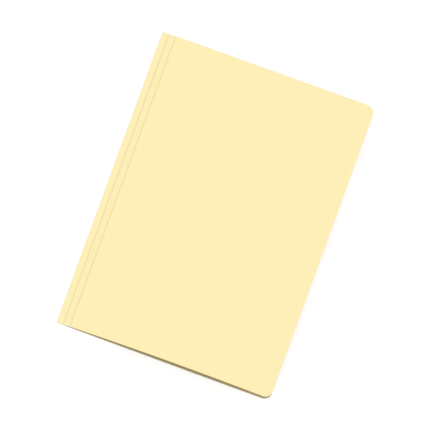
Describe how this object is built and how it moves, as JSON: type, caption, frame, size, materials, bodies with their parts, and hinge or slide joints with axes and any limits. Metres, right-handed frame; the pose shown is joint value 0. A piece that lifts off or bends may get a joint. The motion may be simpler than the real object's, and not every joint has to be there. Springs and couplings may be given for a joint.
{
  "type": "manila folder",
  "caption": "Manila card folder for loose sheets: a flat back cover, a sprung front cover that swings open and a scored spine that squares up when the folder is filled.",
  "frame": {"origin": "on the table under the middle of the closed folder, on the underside of the back cover", "axes": "+X from the spine to the open edge, +Y up the spine, +Z from the back cover to the front cover"},
  "size_m": [0.225, 0.318, 0.0097],
  "materials": {
    "manila_card": "matt uncoated card"
  },
  "bodies": {
    "back_cover": {"back_cover": "manila_card", "spine_fold": "manila_card"},
    "inner_strip": {"inner_strip": "manila_card", "first_score": "manila_card"},
    "outer_strip": {"outer_strip": "manila_card", "second_score": "manila_card"},
    "front_cover": {"front_cover": "manila_card"}
  },
  "joints": [
    {"name": "spine_squaring", "type": "hinge", "parent": "back_cover", "child": "inner_strip", "pos_m": [-0.1121, 0, 0.0004], "axis": [0, -1, 0], "range_deg": [0, 90]},
    {"name": "first_score_bend", "type": "hinge", "parent": "inner_strip", "child": "outer_strip", "pos_m": [-0.10575, 0, 0.0008], "axis": [0, -1, 0], "range_deg": [-90, 0]},
    {"name": "cover_opening", "type": "hinge", "parent": "outer_strip", "child": "front_cover", "pos_m": [-0.09875, 0, 0.0023], "axis": [0, -1, 0], "range_deg": [0, 174]}
  ],
  "couplings": [
    {"joint": "first_score_bend", "follows": "spine_squaring", "ratio": -1}
  ]
}
